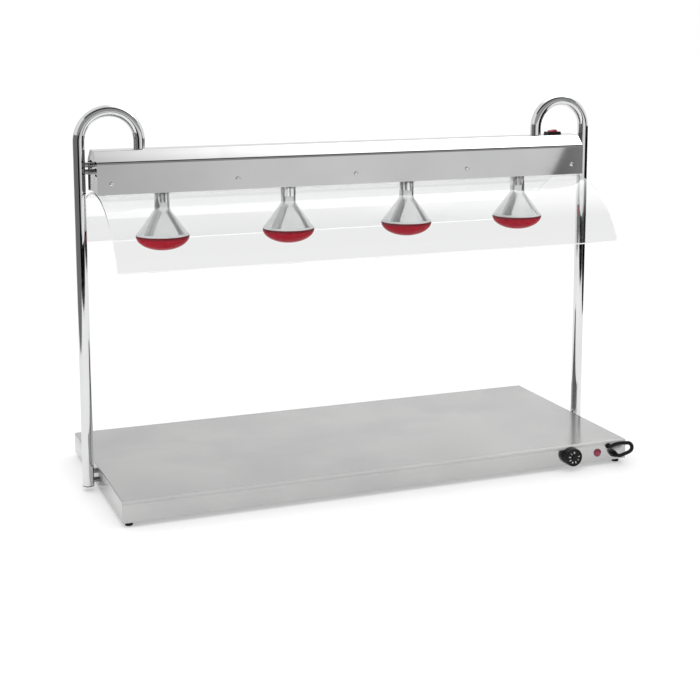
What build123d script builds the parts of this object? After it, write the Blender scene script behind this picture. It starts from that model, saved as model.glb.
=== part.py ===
"""Heated holding plate with an infrared lamp bridge and an arched guard, in millimetres.

The origin is on the table under the middle of the whole footprint, with +X to the right,
+Y to the back and +Z up. The bridge stands over the plate's middle, at bridge_y.
"""
import math
import os

from build123d import *

os.makedirs("parts", exist_ok=True)

# Driving dimensions of the heated plate
plate_length = 1270.0
plate_depth = 560.0
plate_height = 48.0
sheet = 1.2
pan_corner = 6.0
pan_bend = 4.0
pan_flange = 16.0
cover_sheet = 1.0
cover_margin = 4.0
foot_height = 11.0
foot_diameter = 20.0
foot_taper = 1.5
foot_inset_x = 18.0
foot_inset_y = 22.0
foot_screw = 5.0
foot_screw_head = 9.0
cover_screw = 4.0
cover_screw_head = 7.5
cover_screws_along = 5

# Driving dimensions of the heater stack under the plate's top
control_bay = 70.0
heater_margin_x = 35.0
heater_margin_y = 25.0
spreader_sheet = 2.0
mat_sheet = 1.5
mat_gap = 24.0
mat_margin = 12.0
board_thickness = 18.0
stiffener_width = 50.0
stiffener_inset = 102.5
stiffener_lip = 12.0

# Driving dimensions of the controls on the front face
control_z = 36.0
knob_from_end = 160.0
knob_diameter = 45.0
knob_barrel = 20.0
knob_draft = 1.5
knob_edge = 1.6
knob_flutes = 20
knob_flute = 2.2
knob_flute_depth = 1.1
knob_dial = 17.5
knob_dial_recess = 0.8
knob_cap = 7.5
knob_cap_rise = 2.2
knob_gap = 0.8
spindle_diameter = 6.0
spindle_flat = 1.5
spindle_in_knob = 14.0
spindle_in_body = 9.0
spindle_end_gap = 1.0
running_gap = 0.05
spindle_hole = 10.0
thermostat_width = 36.0
thermostat_height = 38.0
thermostat_depth = 36.0
sensor_diameter = 6.0
sensor_length = 90.0
sensor_side_gap = 1.0
capillary_diameter = 2.0
capillary_bend = 12.0
capillary_setback = 50.0
pilot_from_end = 83.0
pilot_z = 34.0
pilot_lens_diameter = 20.0
pilot_lens_rise = 5.0
pilot_barrel = 14.0
pilot_length = 30.0
pilot_nut = 19.0
pilot_nut_thickness = 4.0
terminal_from_end = 73.0
terminal_length = 44.0
terminal_width = 22.0
terminal_height = 20.0
terminal_setback = 51.0
terminal_poles = 4

# Driving dimensions of the short black lead and its two entries
lead_diameter = 9.0
grommet_from_end = 53.0
grommet_z = 48.5
grommet_diameter = 14.0
grommet_rise = 4.0
gland_from_end = 38.5
gland_z = 28.0
gland_diameter = 17.0
gland_tip_diameter = 12.5
gland_collar = 6.5
gland_rise = 14.0
gland_shoulder = 1.0
entry_hole = 11.0
entry_nut = 15.0
entry_nut_thickness = 4.0

# Driving dimensions of the posts and their crooks
post_diameter = 26.9
post_wall = 1.5
post_gap = 6.0
post_foot_z = 12.0
crook_leg = 18.5
crook_span = 139.0
crook_in_bar = 8.0
plug_rim = 2.0
plug_depth = 12.0
stud_diameter = 6.0
stud_clearance = 0.2
spacer_diameter = 12.0
nut_flats = 10.0
nut_thickness = 5.0
stud_spare = 3.0
base_stud_spacing = 22.0
bar_stud_rise = 57.0
bar_stud_spacing = 16.0
end_plate_sheet = 3.0
end_plate_width = 90.0
end_plate_height = 38.0

# Driving dimensions of the lamp bar
bar_post_gap = 16.0
bar_depth = 106.0
bar_flat = 46.0
bar_under_z = 702.0
bar_side = 72.0
bar_height = 98.0
bar_bend = 6.0
cap_inset = 3.0
cap_flange = 14.0
fold_gap = 0.2
tray_flange = 38.0
bar_screw_rise = 25.0
bar_screw_inset = 33.0
bar_screw = 4.0
bar_screw_head = 11.0
bar_screw_head_height = 3.2
bar_screw_length = 9.0
vent_length = 24.0
vent_height = 5.0
vent_pitch = 14.0
vent_rise = 56.0
vent_y = 28.0
rail_overhang = 35.0
rail_width = 60.0
rail_height = 64.0
rail_lip = 8.0

# Driving dimensions of the lamps and their holders
lamp_inset = 160.0
lamp_drop = 107.0
lamp_diameter = 125.0
lamp_front_depth = 34.0
lamp_cone = 61.0
lamp_neck = 36.0
lamp_neck_end_drop = 4.0
lamp_glass = 1.4
lamp_cap = 26.5
lamp_cap_rise = 11.0
lamp_cap_length = 24.0
lamp_tip = 3.0
lamp_hole = 46.0
holder_diameter = 44.0
holder_skirt_rise = 12.0
holder_bore_gap = 0.4
holder_wire_hole = 8.0

# Driving dimensions of the guard
guard_radius = 258.0
guard_angle = 130.0
guard_sheet = 4.0
guard_gap = 0.3
guard_end_gap = 3.0
guard_lamp_hole = 54.0
guard_screw = 5.0
guard_screw_head = 12.0
guard_screw_head_height = 4.0
guard_screw_hole_gap = 0.5
guard_end_screw_inset = 25.0
guard_nut_flats = 8.0
guard_nut_thickness = 4.0

# Driving dimensions of the rocker switch and the harness in the bar
switch_from_end = 60.0
switch_length = 40.0
switch_width = 24.0
switch_rise = 7.5
switch_body_length = 34.0
switch_body_width = 20.0
switch_body_depth = 24.0
switch_wall = 1.5
rocker_length = 21.0
rocker_width = 14.0
rocker_gap = 0.5
rocker_radius = 10.9
rocker_rise = 15.5
rocker_skirt = 1.0
rocker_tilt = 8.0
harness_diameter = 6.0
harness_y = 16.0

# Places that follow from the driving dimensions
knob_reach = knob_gap + knob_barrel + knob_cap_rise
bridge_y = knob_reach / 2
front_y = bridge_y - plate_depth / 2
rear_y = bridge_y + plate_depth / 2
plate_under_z = foot_height + cover_sheet
plate_top_z = plate_under_z + plate_height
post_x = plate_length / 2 + post_gap + post_diameter / 2
leg_x = post_x - crook_span
bar_top_z = bar_under_z + bar_height
bar_length = 2 * (post_x - post_diameter / 2 - bar_post_gap)
bar_cap_x = bar_length / 2 - cap_inset
crook_radius = crook_span / 2
crook_z = bar_top_z + crook_leg
lamp_pitch = (bar_length - 2 * lamp_inset) / 3
lamp_places = [(i - 1.5) * lamp_pitch for i in range(4)]
lamp_rim_z = bar_under_z - lamp_drop
lamp_neck_end_z = bar_under_z - lamp_neck_end_drop
lamp_cap_start_z = bar_under_z + lamp_cap_rise
holder_skirt_z = bar_under_z + holder_skirt_rise
switch_x = bar_length / 2 - switch_from_end
knob_x = plate_length / 2 - knob_from_end
pilot_x = plate_length / 2 - pilot_from_end
terminal_x = plate_length / 2 - terminal_from_end
grommet_x = plate_length / 2 - grommet_from_end
gland_x = plate_length / 2 - gland_from_end
front_face = Plane.XZ.offset(-front_y)
plate_middle = (0, bridge_y)


def keep(piece, node):
    """Labels a finished piece and writes it as a file of its own."""
    piece.part.label = node
    export_step(piece.part, f"parts/{node}.step")


def upright(x, y):
    """A plane that stands on the X axis through a vertical axis, for profiles that are turned."""
    return Plane(origin=(x, y, 0), x_dir=(1, 0, 0), z_dir=(0, -1, 0))


def vertical(x, y):
    """The vertical axis that such a profile turns about."""
    return Axis((x, y, 0), (0, 0, 1))


# Base pan: one folded sheet with rounded edges and a return flange
base_stud_zs = [plate_under_z + plate_height / 2 + s * base_stud_spacing / 2 for s in (-1, 1)]

with BuildPart() as base_pan:
    with BuildSketch(Plane.XY.offset(plate_under_z)):
        with Locations(plate_middle):
            RectangleRounded(plate_length, plate_depth, pan_corner)
    extrude(amount=plate_height)
    fillet(base_pan.faces().sort_by(Axis.Z)[-1].edges(), pan_bend)
    offset(amount=-sheet, openings=base_pan.faces().sort_by(Axis.Z)[0])
    with BuildSketch(Plane.XY.offset(plate_under_z)):
        with Locations(plate_middle):
            RectangleRounded(plate_length, plate_depth, pan_corner)
            Rectangle(plate_length - 2 * pan_flange, plate_depth - 2 * pan_flange, mode=Mode.SUBTRACT)
    extrude(amount=sheet)
    with BuildSketch(front_face):
        with Locations((knob_x, control_z)):
            Circle(spindle_hole / 2)
        with Locations((pilot_x, pilot_z)):
            Circle(pilot_barrel / 2)
        with Locations((grommet_x, grommet_z), (gland_x, gland_z)):
            Circle(entry_hole / 2)
    extrude(amount=-2 * sheet, mode=Mode.SUBTRACT)
    with BuildSketch(Plane.YZ):
        with Locations(*[(bridge_y, z) for z in base_stud_zs]):
            Circle(stud_diameter / 2 + stud_clearance)
    extrude(amount=plate_length, both=True, mode=Mode.SUBTRACT)
keep(base_pan, "base_pan")

# Bottom cover, its screws, the feet and their screws
cover_length = plate_length - 2 * cover_margin
cover_depth = plate_depth - 2 * cover_margin
foot_places = {
    "front_left": (-plate_length / 2 + foot_inset_x, front_y + foot_inset_y),
    "front_right": (plate_length / 2 - foot_inset_x, front_y + foot_inset_y),
    "rear_left": (-plate_length / 2 + foot_inset_x, rear_y - foot_inset_y),
    "rear_right": (plate_length / 2 - foot_inset_x, rear_y - foot_inset_y),
}
cover_screw_step = (cover_length - 4 * foot_inset_x) / (cover_screws_along - 1)
cover_screw_inset = pan_flange / 2
cover_screw_grid = GridLocations(
    cover_screw_step, plate_depth - 2 * cover_screw_inset, cover_screws_along, 2
)
cover_screw_places = [
    (place.position.X, place.position.Y + bridge_y) for place in cover_screw_grid.local_locations
]

with BuildPart() as bottom_cover:
    with BuildSketch(Plane.XY.offset(foot_height)):
        with Locations(plate_middle):
            RectangleRounded(cover_length, cover_depth, pan_corner)
        with Locations(*foot_places.values()):
            Circle(foot_screw / 2, mode=Mode.SUBTRACT)
        with Locations(*cover_screw_places):
            Circle(cover_screw / 2, mode=Mode.SUBTRACT)
    extrude(amount=cover_sheet)
keep(bottom_cover, "bottom_cover")

with BuildPart() as cover_screws:
    with BuildSketch(Plane.XY.offset(foot_height)):
        with Locations(*cover_screw_places):
            Circle(cover_screw_head / 2)
    extrude(amount=-cover_screw_head / 4)
    with BuildSketch(Plane.XY.offset(foot_height)):
        with Locations(*cover_screw_places):
            Circle(cover_screw / 2)
    extrude(amount=cover_sheet)
keep(cover_screws, "cover_screws")

foot_recess = foot_height / 2

for corner, (x, y) in foot_places.items():
    with BuildPart() as foot:
        with BuildSketch(upright(x, y)):
            with BuildLine():
                Polyline(
                    (foot_screw / 2, foot_height),
                    (foot_diameter / 2, foot_height),
                    (foot_diameter / 2 - foot_taper, 0),
                    (foot_screw_head / 2 + fold_gap, 0),
                    (foot_screw_head / 2 + fold_gap, foot_recess),
                    (foot_screw / 2, foot_recess),
                    close=True,
                )
            make_face()
        revolve(axis=vertical(x, y))
    keep(foot, f"foot_{corner}")

with BuildPart() as foot_screws:
    with BuildSketch(Plane.XY.offset(foot_recess)):
        with Locations(*foot_places.values()):
            Circle(foot_screw_head / 2)
    extrude(amount=-foot_screw * 0.6)
    with BuildSketch(Plane.XY.offset(foot_recess)):
        with Locations(*foot_places.values()):
            Circle(foot_screw / 2)
    extrude(amount=foot_height - foot_recess + cover_sheet)
keep(foot_screws, "foot_screws")

# Heater stack: aluminium spreader, two heating mats and an insulation board on two stiffeners
heater_length = plate_length - 2 * heater_margin_x
heater_front_y = front_y + control_bay
heater_depth = rear_y - heater_margin_y - heater_front_y
heater_middle_y = heater_front_y + heater_depth / 2
spreader_z = plate_top_z - sheet - spreader_sheet
mat_z = spreader_z - mat_sheet
board_z = mat_z - board_thickness
sensor_z = spreader_z - sensor_diameter / 2

with BuildPart() as heat_spreader:
    with BuildSketch(Plane.XY.offset(spreader_z)):
        with Locations((0, heater_middle_y)):
            Rectangle(heater_length, heater_depth)
    extrude(amount=spreader_sheet)
keep(heat_spreader, "heat_spreader")

mat_length = (heater_length - mat_gap) / 2 - mat_margin
mat_depth = heater_depth - 2 * mat_margin

for side, word in ((-1, "left"), (1, "right")):
    with BuildPart() as heating_mat:
        with BuildSketch(Plane.XY.offset(mat_z)):
            with Locations((side * (mat_gap + mat_length) / 2, heater_middle_y)):
                RectangleRounded(mat_length, mat_depth, mat_margin)
        extrude(amount=mat_sheet)
    keep(heating_mat, f"heating_mat_{word}")

sensor_slot_width = sensor_diameter + 2 * sensor_side_gap
sensor_slot_reach = sensor_length + capillary_bend + mat_margin

with BuildPart() as insulation_board:
    with BuildSketch(Plane.XY.offset(board_z)):
        with Locations((0, heater_middle_y)):
            Rectangle(heater_length, heater_depth)
    extrude(amount=board_thickness)
    with BuildSketch(Plane.XY.offset(mat_z)):
        with Locations((0, heater_front_y)):
            Rectangle(sensor_slot_width, 2 * sensor_slot_reach)
    extrude(amount=-sensor_diameter, mode=Mode.SUBTRACT)
keep(insulation_board, "insulation_board")

stiffener_height = board_z - plate_under_z
stiffener_length = heater_length
stiffener_offset = heater_depth / 2 - stiffener_inset

for side, word in ((-1, "front"), (1, "rear")):
    with BuildPart() as stiffener:
        with BuildSketch(Plane.YZ):
            with Locations((heater_middle_y + side * stiffener_offset, plate_under_z)):
                Rectangle(stiffener_width, stiffener_height, align=(Align.CENTER, Align.MIN))
                Rectangle(
                    stiffener_width + 2 * stiffener_lip, sheet, align=(Align.CENTER, Align.MIN)
                )
                Rectangle(
                    stiffener_width - 2 * sheet,
                    stiffener_height - sheet,
                    align=(Align.CENTER, Align.MIN),
                    mode=Mode.SUBTRACT,
                )
        extrude(amount=stiffener_length / 2, both=True)
    keep(stiffener, f"stiffener_{word}")

# Thermostat: body behind the front wall, its sensor, the spindle and the knob
thermostat_front_y = front_y + sheet
thermostat_rear_y = thermostat_front_y + thermostat_depth
thermostat_face = Plane.XZ.offset(-thermostat_front_y)

with BuildPart() as thermostat_body:
    with BuildSketch(thermostat_face):
        with Locations((knob_x, control_z)):
            RectangleRounded(thermostat_width, thermostat_height, pan_bend)
    extrude(amount=-thermostat_depth)
    with BuildSketch(thermostat_face):
        with Locations((knob_x, control_z)):
            Circle(spindle_diameter / 2 + running_gap)
    extrude(amount=-spindle_in_body - spindle_end_gap, mode=Mode.SUBTRACT)
keep(thermostat_body, "thermostat_body")

capillary_y = front_y + capillary_setback
sensor_front_y = heater_front_y + capillary_bend

with BuildPart() as thermostat_sensor:
    with BuildLine():
        FilletPolyline(
            (0, sensor_front_y, sensor_z),
            (0, capillary_y, sensor_z),
            (knob_x, capillary_y, sensor_z),
            (knob_x, thermostat_rear_y, sensor_z),
            radius=capillary_bend,
        )
    with BuildSketch(Plane.XZ.offset(-sensor_front_y)):
        with Locations((0, sensor_z)):
            Circle(capillary_diameter / 2)
    sweep()
    with BuildSketch(Plane.XZ.offset(-sensor_front_y)):
        with Locations((0, sensor_z)):
            Circle(sensor_diameter / 2)
    extrude(amount=-sensor_length)
keep(thermostat_sensor, "thermostat_sensor")


def spindle_profile(radius):
    """A round with one flat on top, in the plane and place of the caller."""
    Circle(radius)
    with Locations((0, radius)):
        Rectangle(2 * radius, 2 * spindle_flat, mode=Mode.SUBTRACT)


knob_back = Plane(origin=(knob_x, front_y - knob_gap, control_z), x_dir=(1, 0, 0), z_dir=(0, -1, 0))
spindle_tip = knob_back.offset(spindle_in_knob)

with BuildPart() as thermostat_spindle:
    with BuildSketch(spindle_tip):
        spindle_profile(spindle_diameter / 2)
    extrude(amount=-spindle_in_knob - knob_gap - sheet - spindle_in_body)
keep(thermostat_spindle, "thermostat_spindle")

with BuildPart() as thermostat_knob:
    with BuildSketch(knob_back):
        Circle(knob_diameter / 2)
    extrude(amount=knob_barrel, taper=knob_draft)
    fillet(thermostat_knob.faces().sort_by(Axis.Y)[0].edges(), knob_edge)
    with BuildSketch(knob_back):
        with PolarLocations(knob_diameter / 2 + knob_flute - knob_flute_depth, knob_flutes):
            Circle(knob_flute)
    extrude(amount=knob_barrel, mode=Mode.SUBTRACT)
    with BuildSketch(knob_back.offset(knob_barrel)):
        Circle(knob_dial)
    extrude(amount=-knob_dial_recess, mode=Mode.SUBTRACT)
    with BuildSketch(knob_back.offset(knob_barrel - knob_dial_recess)):
        Circle(knob_cap)
    extrude(amount=knob_dial_recess + knob_cap_rise, taper=knob_draft)
    fillet(thermostat_knob.faces().sort_by(Axis.Y)[0].edges(), knob_cap_rise / 2)
    with BuildSketch(knob_back):
        spindle_profile(spindle_diameter / 2 + running_gap)
    extrude(amount=spindle_in_knob + running_gap, mode=Mode.SUBTRACT)
keep(thermostat_knob, "thermostat_knob")

# Pilot light: barrel with its nut behind the wall, and a domed lens in front
pilot_plane = Plane(origin=(pilot_x, front_y, pilot_z), x_dir=(1, 0, 0), z_dir=(0, -1, 0))
pilot_axis = Axis((pilot_x, front_y, pilot_z), (0, -1, 0))
pilot_section = Plane(origin=(pilot_x, front_y, pilot_z), x_dir=(1, 0, 0), z_dir=(0, 0, 1))

with BuildPart() as pilot_body:
    with BuildSketch(pilot_plane):
        Circle(pilot_barrel / 2)
    extrude(amount=-pilot_length)
    with BuildSketch(pilot_plane.offset(-sheet)):
        RegularPolygon(pilot_nut / 2, 6, major_radius=False)
    extrude(amount=-pilot_nut_thickness)
keep(pilot_body, "pilot_body")

with BuildPart() as pilot_lens:
    with BuildSketch(pilot_section):
        with BuildLine():
            Line((0, 0), (pilot_lens_diameter / 2, 0))
            Line((pilot_lens_diameter / 2, 0), (pilot_lens_diameter / 2, -pilot_lens_rise / 3))
            TangentArc(
                (0, -pilot_lens_rise), (pilot_lens_diameter / 2, -pilot_lens_rise / 3), tangent=(1, 0)
            )
            Line((0, -pilot_lens_rise), (0, 0))
        make_face()
    revolve(axis=pilot_axis)
keep(pilot_lens, "pilot_lens")

# Terminal block on the bottom cover
terminal_y = front_y + terminal_setback
pole_pitch = terminal_length / terminal_poles

with BuildPart() as terminal_block:
    with BuildSketch(Plane.XY.offset(plate_under_z)):
        with Locations((terminal_x, terminal_y)):
            Rectangle(terminal_length, terminal_width)
    extrude(amount=terminal_height)
    with BuildSketch(Plane.XY.offset(plate_under_z + terminal_height)):
        with Locations((terminal_x, terminal_y)):
            with GridLocations(pole_pitch, terminal_width / 2, terminal_poles, 2):
                Circle(pole_pitch / 4)
    extrude(amount=-terminal_height / 4, mode=Mode.SUBTRACT)
keep(terminal_block, "terminal_block")

# Lead entries: a rubber grommet above and a cable gland below, each with its inner nut
grommet_plane = Plane(origin=(grommet_x, front_y, grommet_z), x_dir=(1, 0, 0), z_dir=(0, -1, 0))
gland_plane = Plane(origin=(gland_x, front_y, gland_z), x_dir=(1, 0, 0), z_dir=(0, -1, 0))
entry_depth = sheet + entry_nut_thickness

with BuildPart() as lead_grommet:
    with BuildSketch(grommet_plane):
        Circle(grommet_diameter / 2)
    extrude(amount=grommet_rise, taper=10)
    with BuildSketch(grommet_plane):
        Circle(entry_hole / 2)
    extrude(amount=-sheet)
    with BuildSketch(grommet_plane.offset(-sheet)):
        Circle(entry_nut / 2)
    extrude(amount=-entry_nut_thickness)
keep(lead_grommet, "lead_grommet")

with BuildPart() as lead_gland:
    with BuildSketch(gland_plane):
        RegularPolygon(gland_diameter / 2, 6)
    extrude(amount=gland_collar)
    with BuildSketch(gland_plane.offset(gland_collar)):
        Circle(gland_diameter / 2 - gland_shoulder)
    with BuildSketch(gland_plane.offset(gland_rise)):
        Circle(gland_tip_diameter / 2)
    loft()
    with BuildSketch(gland_plane):
        Circle(entry_hole / 2)
    extrude(amount=-sheet)
    with BuildSketch(gland_plane.offset(-sheet)):
        RegularPolygon(entry_nut / 2, 6)
    extrude(amount=-entry_nut_thickness)
keep(lead_gland, "lead_gland")

# Short lead: out of the grommet, round past the plate's corner and back into the gland
lead_corner = Vector(plate_length / 2, front_y, plate_under_z)
lead_points = [
    lead_corner + Vector(-53.0, -4.0, 36.5),
    lead_corner + Vector(-53.0, -13.0, 36.5),
    lead_corner + Vector(-47.5, -18.0, 40.5),
    lead_corner + Vector(-37.0, -18.5, 44.0),
    lead_corner + Vector(-25.0, -18.8, 45.2),
    lead_corner + Vector(-14.0, -19.6, 45.2),
    lead_corner + Vector(-4.9, -21.0, 44.6),
    lead_corner + Vector(1.0, -22.6, 38.6),
    lead_corner + Vector(1.0, -24.2, 30.4),
    lead_corner + Vector(-4.9, -25.8, 24.8),
    lead_corner + Vector(-15.0, -27.0, 22.2),
    lead_corner + Vector(-25.5, -27.5, 19.6),
    lead_corner + Vector(-33.2, -27.3, 17.4),
    lead_corner + Vector(-38.5, -22.2, 16.0),
    lead_corner + Vector(-38.5, -14.0, 16.0),
]


def bend_radii(points):
    """The largest arc that each corner's two runs leave room for."""
    radii = []
    for before, here, after in zip(points, points[1:], points[2:]):
        turn = math.radians((here - before).get_angle(after - here))
        shorter = min((here - before).length, (after - here).length)
        radii.append(0.45 * shorter / math.tan(turn / 2))
    return radii


lead_radii = bend_radii(lead_points)

with BuildPart() as link_lead:
    with BuildLine() as lead_route:
        FilletPolyline(*lead_points, radius=lead_radii)
    with BuildSketch(Plane(origin=lead_points[0], z_dir=lead_points[1] - lead_points[0])):
        Circle(lead_diameter / 2)
    sweep()
keep(link_lead, "link_lead")

lead_length = sum(edge.length for edge in lead_route.edges())
lead_section = math.pi * lead_diameter**2 / 4
print("lead radii", [round(radius, 1) for radius in lead_radii])
lead_share = link_lead.part.volume / lead_section / lead_length
print("lead length", round(lead_length, 1), "volume share", round(lead_share, 4))

# Posts: one bent tube each, with a plug in the open foot
bar_stud_zs = [bar_under_z + bar_stud_rise + s * bar_stud_spacing / 2 for s in (-1, 1)]

for side, word in ((-1, "left"), (1, "right")):
    post_foot = (side * post_x, bridge_y, post_foot_z + plug_rim)
    post_bend = (side * post_x, bridge_y, crook_z)
    crook_peak = (side * (post_x - crook_radius), bridge_y, crook_z + crook_radius)
    leg_bend = (side * leg_x, bridge_y, crook_z)
    leg_end = (side * leg_x, bridge_y, bar_top_z - crook_in_bar)

    with BuildPart() as post:
        with BuildLine():
            Line(post_foot, post_bend)
            ThreePointArc(post_bend, crook_peak, leg_bend)
            Line(leg_bend, leg_end)
        with BuildSketch(Plane.XY.offset(post_foot_z + plug_rim)):
            with Locations((side * post_x, bridge_y)):
                Circle(post_diameter / 2)
                Circle(post_diameter / 2 - post_wall, mode=Mode.SUBTRACT)
        sweep()
    keep(post, f"post_{word}")

    with BuildPart() as post_plug:
        with BuildSketch(Plane.XY.offset(post_foot_z)):
            with Locations((side * post_x, bridge_y)):
                Circle(post_diameter / 2)
        extrude(amount=plug_rim)
        with BuildSketch(Plane.XY.offset(post_foot_z)):
            with Locations((side * post_x, bridge_y)):
                Circle(post_diameter / 2 - post_wall - running_gap)
        extrude(amount=plug_rim + plug_depth)
    keep(post_plug, f"post_plug_{word}")

    # Inner plate that spreads the post's load over the pan's end wall
    with BuildPart() as end_plate:
        with BuildSketch(Plane.YZ.offset(side * (plate_length / 2 - sheet))):
            with Locations((bridge_y, plate_under_z + plate_height / 2)):
                Rectangle(end_plate_width, end_plate_height)
            with Locations(*[(bridge_y, z) for z in base_stud_zs]):
                Circle(stud_diameter / 2 + stud_clearance, mode=Mode.SUBTRACT)
        extrude(amount=-side * end_plate_sheet)
    keep(end_plate, f"end_plate_{word}")

# Welded studs, spacers and nuts that fix each post to the plate and to the lamp bar
base_stud_places = [(bridge_y, z) for z in base_stud_zs]
bar_stud_places = [(bridge_y, z) for z in bar_stud_zs]
base_wall_x = plate_length / 2
base_nut_x = base_wall_x - sheet - end_plate_sheet
bar_nut_x = bar_cap_x - sheet
stud_tail = nut_thickness + stud_spare
stud_radius = stud_diameter / 2
stud_hole = stud_radius + stud_clearance
post_fixings = (
    ("base_studs", base_stud_places, base_nut_x - stud_tail, stud_radius, 0),
    ("base_spacers", base_stud_places, base_wall_x, spacer_diameter / 2, stud_hole),
    ("bar_studs", bar_stud_places, bar_nut_x - stud_tail, stud_radius, 0),
    ("bar_spacers", bar_stud_places, bar_cap_x, spacer_diameter / 2, stud_hole),
)

for node, places, start_x, radius, bore in post_fixings:
    with BuildPart() as fixings:
        for side in (-1, 1):
            with BuildSketch(Plane.YZ.offset(side * start_x)):
                with Locations(*places):
                    Circle(radius)
                    if bore:
                        Circle(bore, mode=Mode.SUBTRACT)
            extrude(amount=side * (post_x - start_x))
        with BuildSketch(Plane.XY.offset(post_foot_z)):
            with Locations((-post_x, bridge_y), (post_x, bridge_y)):
                Circle(post_diameter / 2)
        extrude(amount=crook_z - post_foot_z, mode=Mode.SUBTRACT)
    keep(fixings, node)

with BuildPart() as stud_nuts:
    for nut_x, places in ((base_nut_x, base_stud_places), (bar_nut_x, bar_stud_places)):
        for side in (-1, 1):
            with BuildSketch(Plane.YZ.offset(side * nut_x)):
                with Locations(*places):
                    RegularPolygon(nut_flats / 2, 6, major_radius=False)
                    Circle(stud_diameter / 2 + running_gap, mode=Mode.SUBTRACT)
            extrude(amount=-side * nut_thickness)
keep(stud_nuts, "stud_nuts")


# Lamp bar: folded shell with sloping shoulders, closed below by a tray and at each end by a cap
def bar_outline(inset):
    """The bar's section in (y, z), drawn in by an inset all round."""
    with BuildSketch() as section:
        with BuildLine():
            Polyline(
                (bridge_y - bar_depth / 2, bar_under_z),
                (bridge_y - bar_depth / 2, bar_under_z + bar_side),
                (bridge_y - bar_flat / 2, bar_top_z),
                (bridge_y + bar_flat / 2, bar_top_z),
                (bridge_y + bar_depth / 2, bar_under_z + bar_side),
                (bridge_y + bar_depth / 2, bar_under_z),
                close=True,
            )
        make_face()
        fillet(section.vertices().sort_by(Axis.Y)[2:], bar_bend)
        if inset:
            offset(amount=-inset, mode=Mode.REPLACE)
    return section.sketch


bar_inner_width = bar_depth - 2 * sheet
bar_screw_pitch = (bar_length - 2 * bar_screw_inset) / 4
bar_screw_xs = [(i - 2) * bar_screw_pitch for i in range(5)]
bar_screw_level = bar_under_z + bar_screw_rise

with BuildPart() as bar_shell:
    with BuildSketch(Plane.YZ):
        add(bar_outline(0))
    extrude(amount=bar_length / 2, both=True)
    with BuildSketch(Plane.YZ):
        add(bar_outline(sheet))
    extrude(amount=bar_length / 2, both=True, mode=Mode.SUBTRACT)
    with BuildSketch(Plane.XY.offset(bar_under_z)):
        with Locations(plate_middle):
            Rectangle(bar_length, bar_inner_width)
    extrude(amount=2 * sheet, mode=Mode.SUBTRACT)
    with BuildSketch(Plane.XY.offset(bar_top_z)):
        with Locations((-leg_x, bridge_y), (leg_x, bridge_y)):
            Circle(post_diameter / 2 + running_gap)
        with Locations((switch_x, bridge_y)):
            Rectangle(switch_body_length + fold_gap, switch_body_width + fold_gap)
    extrude(amount=-2 * sheet, mode=Mode.SUBTRACT)
    with BuildSketch(Plane.XZ.offset(-bridge_y)):
        with Locations(*[(x, bar_screw_level) for x in bar_screw_xs]):
            Circle(bar_screw / 2)
    extrude(amount=bar_depth, both=True, mode=Mode.SUBTRACT)
keep(bar_shell, "bar_shell")

tray_length = 2 * (bar_cap_x - sheet - cap_flange - fold_gap)
tray_width = bar_inner_width - 2 * fold_gap
guard_screw_xs = [-bar_length / 2 + guard_end_screw_inset, -lamp_pitch, 0, lamp_pitch]
guard_screw_xs.append(bar_length / 2 - guard_end_screw_inset)

with BuildPart() as lamp_tray:
    with BuildSketch(Plane.YZ):
        with Locations((bridge_y, bar_under_z)):
            Rectangle(tray_width, tray_flange, align=(Align.CENTER, Align.MIN))
        with Locations((bridge_y, bar_under_z + sheet)):
            Rectangle(
                tray_width - 2 * sheet, tray_flange, align=(Align.CENTER, Align.MIN), mode=Mode.SUBTRACT
            )
    extrude(amount=tray_length / 2, both=True)
    with BuildSketch(Plane.XY.offset(bar_under_z)):
        with Locations(*[(x, bridge_y) for x in lamp_places]):
            Circle(lamp_hole / 2)
        with Locations(*[(x, bridge_y) for x in guard_screw_xs]):
            Circle(guard_screw / 2 + guard_screw_hole_gap)
    extrude(amount=2 * sheet, mode=Mode.SUBTRACT)
    with BuildSketch(Plane.XZ.offset(-bridge_y)):
        with Locations(*[(x, bar_screw_level) for x in bar_screw_xs]):
            Circle(bar_screw / 2)
    extrude(amount=bar_depth, both=True, mode=Mode.SUBTRACT)
keep(lamp_tray, "lamp_tray")

for side, word in ((-1, "left"), (1, "right")):
    with BuildPart() as bar_cap:
        with BuildSketch(Plane.YZ.offset(side * bar_cap_x)):
            add(bar_outline(sheet + fold_gap))
        extrude(amount=-side * (sheet + cap_flange))
        with BuildSketch(Plane.YZ.offset(side * (bar_cap_x - sheet))):
            add(bar_outline(2 * sheet + fold_gap))
        extrude(amount=-side * cap_flange, mode=Mode.SUBTRACT)
        with BuildSketch(Plane.YZ.offset(side * bar_cap_x)):
            with Locations((bridge_y, bar_under_z + vent_rise)):
                with GridLocations(2 * vent_y, vent_pitch, 2, 3):
                    SlotOverall(vent_length, vent_height)
            with Locations(*bar_stud_places):
                Circle(stud_diameter / 2 + stud_clearance)
        extrude(amount=-side * 2 * sheet, mode=Mode.SUBTRACT)
    keep(bar_cap, f"bar_cap_{word}")

# Screws along both faces of the bar, through the shell into the tray
with BuildPart() as bar_screws:
    for face in (-1, 1):
        screw_plane = Plane.XZ.offset(-bridge_y - face * bar_depth / 2)
        with BuildSketch(screw_plane):
            with Locations(*[(x, bar_screw_level) for x in bar_screw_xs]):
                Circle(bar_screw / 2)
        extrude(amount=face * bar_screw_length)
        with BuildSketch(screw_plane):
            with Locations(*[(x, bar_screw_level) for x in bar_screw_xs]):
                Circle(bar_screw_head / 2)
        extrude(amount=-face * bar_screw_head_height, taper=20)
keep(bar_screws, "bar_screws")

# Hat rail inside the bar, which carries the lampholders
rail_floor_z = bar_under_z + sheet
rail_length = 3 * lamp_pitch + 2 * rail_overhang
rail_top_z = rail_floor_z + rail_height

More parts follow.
